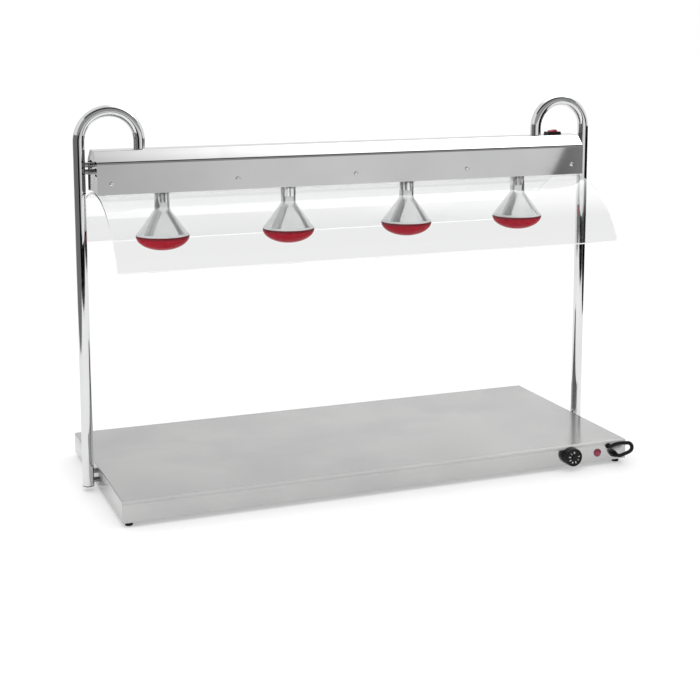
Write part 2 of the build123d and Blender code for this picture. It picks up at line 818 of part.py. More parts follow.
with BuildPart() as holder_rail:
    with BuildSketch(Plane.YZ):
        with Locations((bridge_y, rail_floor_z)):
            Rectangle(rail_width, rail_height, align=(Align.CENTER, Align.MIN))
            Rectangle(rail_width + 2 * rail_lip, sheet, align=(Align.CENTER, Align.MIN))
            Rectangle(
                rail_width - 2 * sheet,
                rail_height - sheet,
                align=(Align.CENTER, Align.MIN),
                mode=Mode.SUBTRACT,
            )
    extrude(amount=rail_length / 2, both=True)
    with BuildSketch(Plane.XY.offset(rail_top_z)):
        with Locations(*[(x, bridge_y) for x in lamp_places]):
            Circle(holder_wire_hole / 2)
    extrude(amount=-2 * sheet, mode=Mode.SUBTRACT)
keep(holder_rail, "holder_rail")

# Lampholders, and the lamps: silvered reflector, ruby front and screw cap
holder_top_z = rail_top_z - sheet
holder_bore_z = lamp_cap_start_z + lamp_cap_length + lamp_tip
rim_radius = lamp_diameter / 2
cone_top_z = lamp_rim_z + lamp_cone


def reflector_outline(inset):
    """The reflector's outline from the rim up the cone to the neck, drawn in by an inset."""
    neck_radius = lamp_neck / 2 - inset
    cap_radius = lamp_cap / 2 - inset
    Line((rim_radius - inset, lamp_rim_z), (neck_radius, cone_top_z))
    Line((neck_radius, cone_top_z), (neck_radius, lamp_neck_end_z))
    Line((neck_radius, lamp_neck_end_z), (cap_radius, lamp_cap_start_z))


for number, x in enumerate(lamp_places, start=1):
    with BuildPart() as lampholder:
        with BuildSketch(upright(x, bridge_y)):
            with BuildLine():
                Polyline(
                    (0, holder_top_z),
                    (holder_diameter / 2 * 0.8, holder_top_z),
                    (holder_diameter / 2, holder_top_z - holder_diameter / 4),
                    (holder_diameter / 2, holder_skirt_z),
                    (lamp_cap / 2 + holder_bore_gap, holder_skirt_z),
                    (lamp_cap / 2 + holder_bore_gap, holder_bore_z),
                    (0, holder_bore_z),
                    close=True,
                )
            make_face()
        revolve(axis=vertical(x, bridge_y))
    keep(lampholder, f"lampholder_{number}")

    with BuildPart() as lamp_reflector:
        with BuildSketch(upright(x, bridge_y)):
            with BuildLine():
                reflector_outline(0)
                Line((lamp_cap / 2, lamp_cap_start_z), (0, lamp_cap_start_z))
                Line((0, lamp_cap_start_z), (0, lamp_rim_z))
                Line((0, lamp_rim_z), (rim_radius, lamp_rim_z))
            make_face()
            with BuildLine():
                reflector_outline(lamp_glass)
                Line((lamp_cap / 2 - lamp_glass, lamp_cap_start_z), (0, lamp_cap_start_z))
                Line((0, lamp_cap_start_z), (0, lamp_rim_z))
                Line((0, lamp_rim_z), (rim_radius - lamp_glass, lamp_rim_z))
            make_face(mode=Mode.SUBTRACT)
        revolve(axis=vertical(x, bridge_y))
    keep(lamp_reflector, f"lamp_reflector_{number}")

    with BuildPart() as lamp_front:
        with BuildSketch(upright(x, bridge_y)):
            with Locations((0, lamp_rim_z)):
                Ellipse(rim_radius, lamp_front_depth)
                Ellipse(rim_radius - lamp_glass, lamp_front_depth - lamp_glass, mode=Mode.SUBTRACT)
                Rectangle(
                    rim_radius, lamp_front_depth, align=(Align.MIN, Align.MAX), mode=Mode.INTERSECT
                )
        revolve(axis=vertical(x, bridge_y))
    keep(lamp_front, f"lamp_front_{number}")

with BuildPart() as lamp_caps:
    for x in lamp_places:
        with BuildSketch(upright(x, bridge_y)):
            with BuildLine():
                Polyline(
                    (0, lamp_cap_start_z),
                    (lamp_cap / 2, lamp_cap_start_z),
                    (lamp_cap / 2, lamp_cap_start_z + lamp_cap_length * 0.8),
                    (lamp_cap / 5, lamp_cap_start_z + lamp_cap_length),
                    (lamp_cap / 5, lamp_cap_start_z + lamp_cap_length + lamp_tip),
                    (0, lamp_cap_start_z + lamp_cap_length + lamp_tip),
                    close=True,
                )
            make_face()
        revolve(axis=vertical(x, bridge_y))
keep(lamp_caps, "lamp_caps")

# Guard: one sheet bent to an arch under the bar, with clearance for the lamps
guard_outer_z = bar_under_z - guard_gap
guard_centre = (bridge_y, guard_outer_z - guard_radius)
guard_start = 90 - guard_angle / 2
guard_length = bar_length - 2 * guard_end_gap

with BuildPart() as guard:
    with BuildSketch(Plane.YZ):
        with BuildLine():
            outer = CenterArc(guard_centre, guard_radius, guard_start, guard_angle)
            inner = CenterArc(guard_centre, guard_radius - guard_sheet, guard_start, guard_angle)
            Line(outer @ 0, inner @ 0)
            Line(outer @ 1, inner @ 1)
        make_face()
    extrude(amount=guard_length / 2, both=True)
    with BuildSketch(Plane.XY.offset(guard_outer_z)):
        with Locations(*[(x, bridge_y) for x in lamp_places]):
            Circle(guard_lamp_hole / 2)
        with Locations(*[(x, bridge_y) for x in guard_screw_xs]):
            Circle(guard_screw / 2 + guard_screw_hole_gap)
    extrude(amount=-3 * guard_sheet, mode=Mode.SUBTRACT)
keep(guard, "guard")

guard_inner_z = guard_outer_z - guard_sheet
guard_head_z = guard_inner_z - guard_gap
guard_nut_z = bar_under_z + sheet

with BuildPart() as guard_screws:
    with BuildSketch(Plane.XY.offset(guard_head_z)):
        with Locations(*[(x, bridge_y) for x in guard_screw_xs]):
            Circle(guard_screw_head / 2)
    extrude(amount=-guard_screw_head_height, taper=20)
    with BuildSketch(Plane.XY.offset(guard_head_z)):
        with Locations(*[(x, bridge_y) for x in guard_screw_xs]):
            Circle(guard_screw / 2)
    extrude(amount=guard_nut_z + guard_nut_thickness + sheet - guard_head_z)
keep(guard_screws, "guard_screws")

with BuildPart() as guard_nuts:
    with BuildSketch(Plane.XY.offset(guard_nut_z)):
        with Locations(*[(x, bridge_y) for x in guard_screw_xs]):
            RegularPolygon(guard_nut_flats / 2, 6, major_radius=False)
            Circle(guard_screw / 2 + running_gap, mode=Mode.SUBTRACT)
    extrude(amount=guard_nut_thickness)
keep(guard_nuts, "guard_nuts")

# Rocker switch on the bar's flat top: frame with its body below, and the rocker on a cross pin
pin_z = bar_top_z + rocker_rise - rocker_radius
pin_radius = switch_wall
slot_length = 2 * math.hypot(rocker_length / 2, bar_top_z + rocker_skirt - pin_z) + 2 * rocker_gap
slot_width = rocker_width + 2 * rocker_gap
slot_depth = switch_rise + bar_top_z - pin_z + slot_length / 2
rocker_plane = Plane(origin=(switch_x, bridge_y, pin_z), x_dir=(1, 0, 0), z_dir=(0, -1, 0))
tilt = math.radians(rocker_tilt)
rocker_tilted = Plane(
    origin=(switch_x, bridge_y, pin_z), x_dir=(math.cos(tilt), 0, math.sin(tilt)), z_dir=(0, -1, 0)
)

with BuildPart() as switch_frame:
    with BuildSketch(Plane.XY.offset(bar_top_z)):
        with Locations((switch_x, bridge_y)):
            RectangleRounded(switch_length, switch_width, switch_wall)
    extrude(amount=switch_rise, taper=12)
    with BuildSketch(Plane.XY.offset(bar_top_z)):
        with Locations((switch_x, bridge_y)):
            Rectangle(switch_body_length, switch_body_width)
    extrude(amount=-switch_body_depth)
    with BuildSketch(Plane.XY.offset(bar_top_z + switch_rise)):
        with Locations((switch_x, bridge_y)):
            Rectangle(slot_length, slot_width)
    extrude(amount=-slot_depth, mode=Mode.SUBTRACT)
    with BuildSketch(rocker_plane):
        Circle(pin_radius)
    extrude(amount=slot_width / 2 + switch_wall / 2, both=True)
keep(switch_frame, "switch_frame")

with BuildPart() as switch_rocker:
    with BuildSketch(rocker_tilted):
        Circle(rocker_radius)
        with Locations((0, bar_top_z + rocker_skirt - pin_z)):
            Rectangle(
                rocker_length, rocker_radius, align=(Align.CENTER, Align.MIN), mode=Mode.INTERSECT
            )
        Circle(pin_radius + running_gap, mode=Mode.SUBTRACT)
    extrude(amount=rocker_width / 2, both=True)
keep(switch_rocker, "switch_rocker")

# Wiring harness on the rail: one trunk, a drop to each lampholder, the leg and the switch
harness_z = rail_top_z + harness_diameter / 2
harness_trunk_y = bridge_y + harness_y
switch_under_z = bar_top_z - switch_body_depth

with BuildPart() as lamp_harness:
    with BuildSketch(Plane.YZ.offset(lamp_places[0])):
        with Locations((harness_trunk_y, harness_z)):
            Circle(harness_diameter / 2)
    extrude(amount=switch_x - lamp_places[0])
    with BuildSketch(Plane.XZ.offset(-harness_trunk_y)):
        with Locations(*[(x, harness_z) for x in lamp_places + [switch_x]]):
            Circle(harness_diameter / 2)
    extrude(amount=harness_y + harness_diameter / 2)
    with BuildSketch(Plane.XY.offset(harness_z)):
        with Locations(*[(x, bridge_y) for x in lamp_places]):
            Circle(harness_diameter / 2)
    extrude(amount=holder_top_z - harness_z)
    with BuildSketch(Plane.XY.offset(harness_z)):
        with Locations((switch_x, bridge_y)):
            Circle(harness_diameter / 2)
    extrude(amount=switch_under_z - harness_z)
keep(lamp_harness, "lamp_harness")
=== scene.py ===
# %% [markdown]
# # A heated holding plate with a lamp bridge
# The object is a long steel plate that keeps food warm. Two bent tubes carry a folded lamp bar over it, with four
# red heat lamps and one clear sheet that is bent to an arch under the bar. The construction comes in as a fixed
# frame, at its real size in metres. This lesson adds what the eye sees: smooth tubes, glass, clear plastic and metal
# finishes. The frame's own pieces are never moved, so every size below is read from them or named beside its use.

# %% Load the frame
import math

import bpy
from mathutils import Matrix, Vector


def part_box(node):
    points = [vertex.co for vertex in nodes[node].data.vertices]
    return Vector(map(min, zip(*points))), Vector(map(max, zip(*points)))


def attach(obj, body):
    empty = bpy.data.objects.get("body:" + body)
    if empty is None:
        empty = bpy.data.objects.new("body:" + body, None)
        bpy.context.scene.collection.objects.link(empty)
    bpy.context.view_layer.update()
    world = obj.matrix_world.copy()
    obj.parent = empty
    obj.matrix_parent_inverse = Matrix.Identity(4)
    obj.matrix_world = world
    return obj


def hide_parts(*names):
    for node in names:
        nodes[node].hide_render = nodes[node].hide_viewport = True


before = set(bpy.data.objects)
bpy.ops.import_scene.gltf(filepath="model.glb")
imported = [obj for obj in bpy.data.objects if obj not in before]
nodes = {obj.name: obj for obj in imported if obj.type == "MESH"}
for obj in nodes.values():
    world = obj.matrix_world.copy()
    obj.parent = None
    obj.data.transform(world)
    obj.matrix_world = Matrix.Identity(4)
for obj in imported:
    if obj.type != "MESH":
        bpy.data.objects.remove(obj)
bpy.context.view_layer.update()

# %% [markdown]
# ## The camera
# The photograph was taken with a long lens, from the left and a little above the lamps. Its upright lines stay
# parallel, as with a lens that is shifted on its mount, so the camera gets a small shift too and is tipped less than
# the view down would need. The place was found by setting the corners of the plate, posts and bar against the frame.

# %% Camera
camera_place = Vector((-1.240, -3.1485, 1.094))
camera_turn = math.radians(21.5)
camera_dip = math.radians(8.9)
focal_share = 1399 / 700
sensor_width = 36.0
lens_shift = -0.16
view_reach = 60

bpy.ops.object.camera_add(
    location=camera_place, rotation=(math.pi / 2 - camera_dip, 0, -camera_turn)
)
camera = bpy.context.object
camera.data.sensor_width = sensor_width
camera.data.lens = focal_share * sensor_width
camera.data.shift_y = lens_shift
camera.data.clip_end = view_reach
bpy.context.scene.camera = camera
print("lens", round(camera.data.lens, 1), "mm")

# %% [markdown]
# ## The short black lead
# A stub of black rubber cable leaves the front wall by a grommet, swings round past the plate's right corner and goes
# back in by a gland. Its whole length shows, so that is all there is of it. A cable is one smooth line with a round
# section: a NURBS curve with a round bevel gives both. Its control points are the route of the construction, and each
# carries the cable's radius.

# %% Lead
lead_diameter = 0.009
lead_route = [
    (0.5820, -0.2725, 0.0485),
    (0.5822, -0.2805, 0.0500),
    (0.5880, -0.2850, 0.0550),
    (0.5980, -0.2860, 0.0578),
    (0.6100, -0.2870, 0.0580),
    (0.6210, -0.2881, 0.0572),
    (0.6301, -0.2895, 0.0566),
    (0.6360, -0.2911, 0.0506),
    (0.6360, -0.2927, 0.0424),
    (0.6301, -0.2943, 0.0368),
    (0.6200, -0.2955, 0.0342),
    (0.6095, -0.2960, 0.0316),
    (0.6018, -0.2958, 0.0294),
    (0.5965, -0.2907, 0.0280),
    (0.5965, -0.2825, 0.0280),
]
lead_curve = bpy.data.curves.new("lead_cable", "CURVE")
lead_curve.dimensions = "3D"
lead_spline = lead_curve.splines.new("NURBS")
lead_spline.points.add(len(lead_route) - 1)
for point, place in zip(lead_spline.points, lead_route):
    point.co = (*place, 1.0)
    point.radius = lead_diameter / 2
lead_spline.order_u = 3
lead_spline.use_endpoint_u = True
lead_spline.resolution_u = 8
lead_curve.bevel_depth = 1.0
lead_curve.bevel_resolution = 6
lead_curve.use_fill_caps = True
lead = bpy.data.objects.new("lead_cable", lead_curve)
bpy.context.collection.objects.link(lead)
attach(lead, "plate")
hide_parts("link_lead")
print("lead points", len(lead_route))

# %% [markdown]
# ## Helpers for working by operator
# Blender's operators act on whatever is selected. A few small helpers keep that in order: one makes a single object
# the selected and active one, one adds a modifier, and one finishes a piece. Finishing means that the modifiers are
# applied, the place goes into the mesh, the piece is given its finish and its body, and the plain solid that it
# stands for is hidden.

# %% Helpers
def only(piece):
    """Makes one object the selected and active one."""
    bpy.ops.object.select_all(action="DESELECT")
    piece.select_set(True)
    bpy.context.view_layer.objects.active = piece


def new_piece(add, **settings):
    """Adds a primitive with nothing else selected and puts its place into its mesh."""
    bpy.ops.object.select_all(action="DESELECT")
    add(**settings)
    bpy.ops.object.transform_apply(location=True, rotation=True, scale=True)
    return bpy.context.object


def add_modifier(piece, kind, **settings):
    """Adds a modifier and sets its values."""
    modifier = piece.modifiers.new(kind.lower(), kind)
    for key, value in settings.items():
        setattr(modifier, key, value)
    return modifier


def outward(piece):
    """Merges doubles and turns the faces outwards."""
    only(piece)
    bpy.ops.object.mode_set(mode="EDIT")
    bpy.ops.mesh.select_all(action="SELECT")
    bpy.ops.mesh.remove_doubles(threshold=1e-6)
    bpy.ops.mesh.normals_make_consistent(inside=False)
    bpy.ops.object.mode_set(mode="OBJECT")


def apply_modifiers(piece):
    """Applies a piece's modifiers from top to bottom."""
    only(piece)
    for modifier in list(piece.modifiers):
        bpy.ops.object.modifier_apply(modifier=modifier.name)


def close_up(piece, name, finish, slot, *stands_for, body="plate", crease=35):
    """Finishes a piece: mesh, shading, name, finish and body, and hides the plain solid that it stands for."""
    apply_modifiers(piece)
    bpy.ops.object.transform_apply(location=True, rotation=True, scale=True)
    bpy.ops.object.shade_smooth_by_angle(angle=math.radians(crease))
    piece.name = name
    piece.data.name = name
    piece.data.materials.clear()
    piece.data.materials.append(finish)
    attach(piece, body)
    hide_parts(*stands_for)
    return piece


def extents(piece):
    """A piece's lowest and highest corners, for the prints below."""
    corners = [piece.matrix_world @ v.co for v in piece.data.vertices]
    low = [round(min(c[i] for c in corners), 4) for i in range(3)]
    high = [round(max(c[i] for c in corners), 4) for i in range(3)]
    return low, high


# %% [markdown]
# ## Helpers for finishes
# Every finish is a small web of nodes round one main shader. The patterns are noises on Object coordinates, which are
# metres on this object, so a scale of 5 is a cloud of about 200 mm. A noise that is stretched along one axis becomes
# brush lines. A few tools make nearly all the finishes here: a noise, a range of values, a place along one axis, a
# sum of two patterns and a relief.

# %% Finish helpers
def new_finish(name, **sockets):
    """Starts a finish and sets the main shader's even values."""
    finish = bpy.data.materials.new(name)
    finish.use_nodes = True
    shader = finish.node_tree.nodes["Principled BSDF"]
    for socket, value in sockets.items():
        shader.inputs[socket.replace("_", " ")].default_value = value
    return finish, shader


def put(finish, kind, **sockets):
    """Adds a node and sets its inputs by name."""
    node = finish.node_tree.nodes.new(kind)
    for socket, value in sockets.items():
        node.inputs[socket.replace("_", " ")].default_value = value
    return node


def wire(finish, source, target):
    """Joins an output to an input."""
    finish.node_tree.links.new(source, target)


def grain(finish, scale, stretch=(1.0, 1.0, 1.0), detail=3.0):
    """A noise over the object's own metres, drawn out where a stretch value is small."""
    place = put(finish, "ShaderNodeTexCoord")
    mapping = put(finish, "ShaderNodeMapping", Scale=stretch)
    noise = put(finish, "ShaderNodeTexNoise", Scale=scale, Detail=detail)
    wire(finish, place.outputs["Object"], mapping.inputs["Vector"])
    wire(finish, mapping.outputs["Vector"], noise.inputs["Vector"])
    return noise.outputs["Fac"]


def shades(finish, factor, dark, light, start=0.35, end=0.65):
    """Colours from dark to light over the middle of a pattern."""
    ramp = put(finish, "ShaderNodeValToRGB")
    ramp.color_ramp.elements[0].position = start
    ramp.color_ramp.elements[0].color = (*dark, 1.0)
    ramp.color_ramp.elements[1].position = end
    ramp.color_ramp.elements[1].color = (*light, 1.0)
    wire(finish, factor, ramp.inputs["Fac"])
    return ramp.outputs["Color"]


def between(finish, factor, low, high, start=0.35, end=0.65):
    """Numbers from low to high over the middle of a pattern."""
    span = put(finish, "ShaderNodeMapRange", From_Min=start, From_Max=end, To_Min=low, To_Max=high)
    wire(finish, factor, span.inputs["Value"])
    return span.outputs["Result"]


def along(finish, axis, start, end, low=0.0, high=1.0):
    """Numbers from low to high between two places on one of the object's axes."""
    place = put(finish, "ShaderNodeTexCoord")
    axes = put(finish, "ShaderNodeSeparateXYZ")
    wire(finish, place.outputs["Object"], axes.inputs["Vector"])
    return between(finish, axes.outputs[axis], low, high, start, end)


def sum_up(finish, operation, first, second):
    """One sum with two outputs, such as MULTIPLY or MAXIMUM."""
    node = put(finish, "ShaderNodeMath")
    node.operation = operation
    wire(finish, first, node.inputs[0])
    wire(finish, second, node.inputs[1])
    return node.outputs["Value"]


def relief(finish, shader, factor, depth, strength=0.5):
    """A small relief on the surface, with its depth in metres."""
    bump = put(finish, "ShaderNodeBump", Strength=strength, Distance=depth)
    wire(finish, factor, bump.inputs["Height"])
    wire(finish, bump.outputs["Normal"], shader.inputs["Normal"])


# %% [markdown]
# ## The metals
# The plate is satin sheet that was brushed along its length. Fine grooves blur a reflection across the brush lines
# and leave it clear along them, so a post stands in the plate as a long streak with sharp sides. The shader's
# anisotropy does the same. The plate's front top edge is rubbed matt by cloths and dishes. The lamp bar is the same
# steel with a bright rolled face, so it mirrors the room more sharply. The posts are chromed tube, the small hardware
# is zinc plated and the bar's screws are nickel plated. The posts' spacers are steel coloured dark, painted shade for
# the gaps where they sit between the posts and the bar and plate. One recipe covers all of them, because only the
# colour, the gloss, the direction of the brush lines and their depth differ.

# %% Metals
def metal(name, dark, light, rough, brush=(1.0, 1.0, 1.0), lines=200.0, cloud=5.0, depth=1e-5):
    """Metal with cloudy colour, brush lines in the gloss and a trace of relief."""
    finish, shader = new_finish(name, Metallic=1.0)
    wire(finish, shades(finish, grain(finish, cloud), dark, light), shader.inputs["Base Color"])
    streaks = grain(finish, lines, brush)
    wire(finish, between(finish, streaks, *rough), shader.inputs["Roughness"])
    relief(finish, shader, streaks, depth)
    return finish


def rub_edge(finish, edge_y, edge_z, reach, dull):
    """Makes a finish matt along the front top edge, where cloths and dishes rub it."""
    shader = finish.node_tree.nodes["Principled BSDF"]
    from_front = along(finish, "Y", edge_y + reach, edge_y)
    from_top = along(finish, "Z", edge_z - reach, edge_z)
    share = sum_up(finish, "MULTIPLY", from_front, from_top)
    brushed = shader.inputs["Roughness"].links[0].from_socket
    rubbed = between(finish, share, 0.0, dull, 0.0, 0.6)
    wire(finish, sum_up(finish, "MAXIMUM", brushed, rubbed), shader.inputs["Roughness"])
    wire(finish, between(finish, share, 1.0, 0.15, 0.0, 0.6), shader.inputs["Metallic"])


def brush_along_x(finish, strength):
    """Blurs reflections across brush lines that run along X, and leaves them clear along the lines."""
    shader = finish.node_tree.nodes["Principled BSDF"]
    shader.inputs["Anisotropic"].default_value = strength
    across = put(finish, "ShaderNodeTangent")
    across.direction_type = "RADIAL"
    across.axis = "X"
    wire(finish, across.outputs["Tangent"], shader.inputs["Tangent"])


pan_satin = metal(
    "pan_satin", (0.485, 0.485, 0.485), (0.535, 0.535, 0.53), (0.165, 0.22), brush=(0.01, 1.0, 1.0), lines=900.0
)
brush_along_x(pan_satin, 0.90)
pan_low, pan_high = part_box("base_pan")
rub_edge(pan_satin, pan_low.y, pan_high.z, reach=0.010, dull=0.70)
bar_bright = metal(
    "bar_bright", (0.53, 0.53, 0.535), (0.58, 0.58, 0.58), (0.04, 0.07), brush=(0.01, 1.0, 1.0), lines=700.0
)
tube_chrome = metal("tube_chrome", (0.67, 0.675, 0.68), (0.73, 0.73, 0.735), (0.05, 0.08), lines=60.0, depth=2e-6)
zinc_plate = metal("zinc_plate", (0.52, 0.53, 0.55), (0.66, 0.66, 0.65), (0.22, 0.38), lines=300.0, cloud=60.0)
nickel_plate = metal("nickel_plate", (0.76, 0.76, 0.75), (0.86, 0.86, 0.85), (0.08, 0.16), lines=300.0, cloud=60.0)
# Painted shade: the spacers' steel is coloured dark for the shade in the gaps where they sit.
spacer_steel_painted_shade = metal("spacer_steel_painted_shade", (0.27, 0.27, 0.27), (0.38, 0.38, 0.38), (0.12, 0.22), lines=300.0, cloud=60.0)
mill_aluminium = metal(
    "mill_aluminium", (0.70, 0.70, 0.71), (0.80, 0.80, 0.81), (0.30, 0.42), brush=(0.02, 1.0, 1.0), lines=500.0
)
copper_tube = metal("copper_tube", (0.58, 0.28, 0.15), (0.74, 0.42, 0.27), (0.22, 0.40), lines=250.0, cloud=40.0)
brass_thread = metal("brass_thread", (0.60, 0.47, 0.24), (0.74, 0.61, 0.34), (0.20, 0.34), lines=250.0, cloud=60.0)
print("metals", len(bpy.data.materials))

# %% [markdown]
# ## Plastics, rubber and the rest
# Knob, switch frame and gland are moulded black plastic with a fine spark texture. Feet and lead are duller rubber.
# The heater's mats, the insulation and the ceramic holders are hidden, but they keep their own honest colour for
# anyone who takes the model apart.

# %% Plastics, rubber and ceramic
def moulded(name, dark, light, rough, texture=1200.0, depth=2e-5, **sockets):
    """A moulded or pressed material with a slightly uneven colour and a fine surface texture."""
    finish, shader = new_finish(name, **sockets)
    wire(finish, shades(finish, grain(finish, 25.0), dark, light), shader.inputs["Base Color"])
    speckle = grain(finish, texture, detail=2.0)
    wire(finish, between(finish, speckle, *rough), shader.inputs["Roughness"])
    relief(finish, shader, speckle, depth)
    return finish


black_plastic = moulded(
    "black_plastic", (0.004, 0.004, 0.004), (0.009, 0.009, 0.009), (0.26, 0.38), Specular_IOR_Level=0.18
)
black_rubber = moulded(
    "black_rubber", (0.004, 0.004, 0.004), (0.010, 0.010, 0.010), (0.45, 0.60), 700.0, 4e-5, Specular_IOR_Level=0.2
)
white_plastic = moulded("white_plastic", (0.74, 0.74, 0.71), (0.82, 0.82, 0.80), (0.35, 0.45))
red_lens = moulded("red_lens", (0.17, 0.008, 0.030), (0.23, 0.012, 0.040), (0.10, 0.16), 400.0, 1e-5, Coat_Weight=0.5)
red_rocker = moulded("red_rocker", (0.30, 0.006, 0.030), (0.38, 0.010, 0.042), (0.12, 0.18), 900.0, 5e-6)
silicone_mat = moulded("silicone_mat", (0.30, 0.06, 0.035), (0.38, 0.09, 0.05), (0.55, 0.70), 500.0, 1e-4)
fibre_board = moulded("fibre_board", (0.62, 0.58, 0.48), (0.76, 0.72, 0.62), (0.80, 0.95), 160.0, 4e-4)
ceramic = moulded("ceramic", (0.78, 0.77, 0.73), (0.86, 0.85, 0.82), (0.18, 0.30), 90.0, 2e-5)
dial_print = moulded("dial_print", (0.62, 0.62, 0.60), (0.76, 0.76, 0.74), (0.45, 0.60))
print("finishes so far", len(bpy.data.materials))

# %% [markdown]
# ## The clear sheet
# The guard is clear acrylic. Its gloss is a little uneven from wiping, and its sawn edges are frosted, so that they
# show as light lines. A clear sheet as wide as this mirrors the whole room and would veil the lamps behind it, so its
# refraction is set a little under that of real acrylic.

# %% Clear sheet
guard_low, guard_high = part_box("guard")
sawn_edge = 0.0008
long_edge_share = 2.5
edge_fade = 1.3
frosted = 0.55
clear_acrylic, acrylic_shader = new_finish(
    "clear_acrylic", Base_Color=(0.975, 0.978, 0.978, 1.0), Transmission_Weight=1.0, IOR=1.30
)
gloss = between(clear_acrylic, grain(clear_acrylic, 6.0), 0.008, 0.03)
for axis, edge, inward in (("X", guard_low.x, 1), ("X", guard_high.x, -1), ("Z", guard_low.z, long_edge_share)):
    clear_from = edge + inward * sawn_edge * edge_fade
    frost = along(clear_acrylic, axis, clear_from, edge + inward * sawn_edge, 0.0, frosted)
    gloss = sum_up(clear_acrylic, "MAXIMUM", gloss, frost)
wire(clear_acrylic, gloss, acrylic_shader.inputs["Roughness"])
print("guard from", guard_low, "to", guard_high)

# %% [markdown]
# ## The lamp glass
# The lamps are blown glass. Neck and cone are silvered on the inside, so they look like metal under glass. On the
# neck the silver's colour carries painted dark and white streaks, painted reflections of the room. The silver ends
# just over the rim, where a light lip stays bare. The front is ruby glass with painted shade: its colour turns dark
# where it rolls over to the rim, for the eye looking along the glass there. All of this changes with the height
# alone, so places along Z steer it.

# %% Lamp glass
bar_low, bar_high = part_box("bar_shell")
lamp_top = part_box("lamp_front_1")[1].z
neck_shown = 0.029
neck_blend = 0.003
lip_rise = 0.0055
lip_blend = 0.0015
ruby_light = 0.007
ruby_dark = 0.001
neck_low = bar_low.z - neck_shown
lip_top = lamp_top + lip_rise

silvered_glass, silver_shader = new_finish("silvered_glass", Coat_Weight=0.15)
silver_cloud = grain(silvered_glass, 18.0)
silver_tone = shades(silvered_glass, silver_cloud, (0.62, 0.63, 0.63), (0.69, 0.70, 0.70))
# Painted reflections: dark and white streaks in the neck's colour stand for the room mirrored in it.
neck_reflection_noise = grain(silvered_glass, 210.0, (1.0, 1.0, 0.04))
painted_neck_reflections = shades(silvered_glass, neck_reflection_noise, (0.06, 0.06, 0.06), (1.0, 1.0, 1.0), start=0.38, end=0.60)
silver_and_painted_reflections = put(silvered_glass, "ShaderNodeMixRGB")
wire(silvered_glass, along(silvered_glass, "Z", neck_low, neck_low + neck_blend), silver_and_painted_reflections.inputs["Fac"])
wire(silvered_glass, silver_tone, silver_and_painted_reflections.inputs["Color1"])
wire(silvered_glass, painted_neck_reflections, silver_and_painted_reflections.inputs["Color2"])
wire(silvered_glass, silver_and_painted_reflections.outputs["Color"], silver_shader.inputs["Base Color"])
wire(silvered_glass, between(silvered_glass, silver_cloud, 0.09, 0.15), silver_shader.inputs["Roughness"])
lip = along(silvered_glass, "Z", lip_top, lip_top + lip_blend, 0.10, 0.85)
wire(silvered_glass, lip, silver_shader.inputs["Metallic"])

ruby_glass, ruby_shader = new_finish("ruby_glass", Roughness=0.12, Specular_IOR_Level=0.015)
# Painted shade: the ruby's colour darkens towards the rim, for the eye looking along the glass there.
rim_shade_height = along(ruby_glass, "Z", lamp_top - ruby_light, lamp_top - ruby_dark)
ruby_with_painted_rim_shade = shades(ruby_glass, rim_shade_height, (0.37, 0.0015, 0.016), (0.13, 0.001, 0.008), start=0.0, end=1.0)
wire(ruby_glass, ruby_with_painted_rim_shade, ruby_shader.inputs["Base Color"])
relief(ruby_glass, ruby_shader, grain(ruby_glass, 40.0), 2e-4, strength=0.2)
print("lamp rim at", round(lamp_top, 4))

# %% [markdown]
# ## Finishes of the frame's own pieces
# Folded sheet, screws and inner parts have the right shape already, so they stay and only get their finish.

# %% Dress the frame
finish_of = {
    pan_satin: ["base_pan", "bottom_cover", "bar_cap_left", "bar_cap_right"],
    bar_bright: ["bar_shell", "lamp_tray"],
    zinc_plate: [
        "stiffener_front", "stiffener_rear", "end_plate_left", "end_plate_right", "holder_rail", "base_studs",
        "bar_studs", "stud_nuts", "cover_screws", "foot_screws", "guard_screws", "guard_nuts", "thermostat_spindle",
    ],
    nickel_plate: ["bar_screws"],
    spacer_steel_painted_shade: ["base_spacers", "bar_spacers"],
    tube_chrome: ["post_left", "post_right"],
    mill_aluminium: ["heat_spreader"],
    copper_tube: ["thermostat_sensor"],
    brass_thread: ["lamp_caps"],
    black_plastic: [
        "thermostat_knob", "thermostat_body", "switch_frame", "pilot_body", "lead_gland", "post_plug_left",
        "post_plug_right",
    ],
    black_rubber: [
        "foot_front_left", "foot_front_right", "foot_rear_left", "foot_rear_right", "lead_grommet", "link_lead",
        "lamp_harness",
    ],
    white_plastic: ["terminal_block"],
    red_lens: ["pilot_lens"],
    red_rocker: ["switch_rocker"],
    silicone_mat: ["heating_mat_left", "heating_mat_right"],
    fibre_board: ["insulation_board"],
    ceramic: [f"lampholder_{number}" for number in range(1, 5)],
    clear_acrylic: ["guard"],
    silvered_glass: [f"lamp_reflector_{number}" for number in range(1, 5)],
    ruby_glass: [f"lamp_front_{number}" for number in range(1, 5)],
}
dressed = set()
for finish, names in finish_of.items():
    for name in names:
        for material_slot in nodes[name].material_slots:
            material_slot.material = finish
        dressed.add(name)
lead.data.materials.append(black_rubber)
print("frame pieces without a finish", sorted(set(nodes) - dressed))

# %% [markdown]
# ## The crooked posts
# Each post is one chromed tube: straight up from the table, over in a half round crook, and down on to the bar's top.
# A tube bender pulls the tube round a former, and Spin does the same here. A circle is drawn up to the start of the
# bend, spun half a turn about the crook's centre, and drawn down again. Solidify then gives the tube its wall.

# %% Posts
plug_low, plug_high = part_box("post_plug_left")
tube_radius = (plug_high.x - plug_low.x) / 2
tube_wall = 0.0015
leg_in_bar = 0.008
bridge_y = (bar_low.y + bar_high.y) / 2
leg_end_z = bar_high.z - leg_in_bar

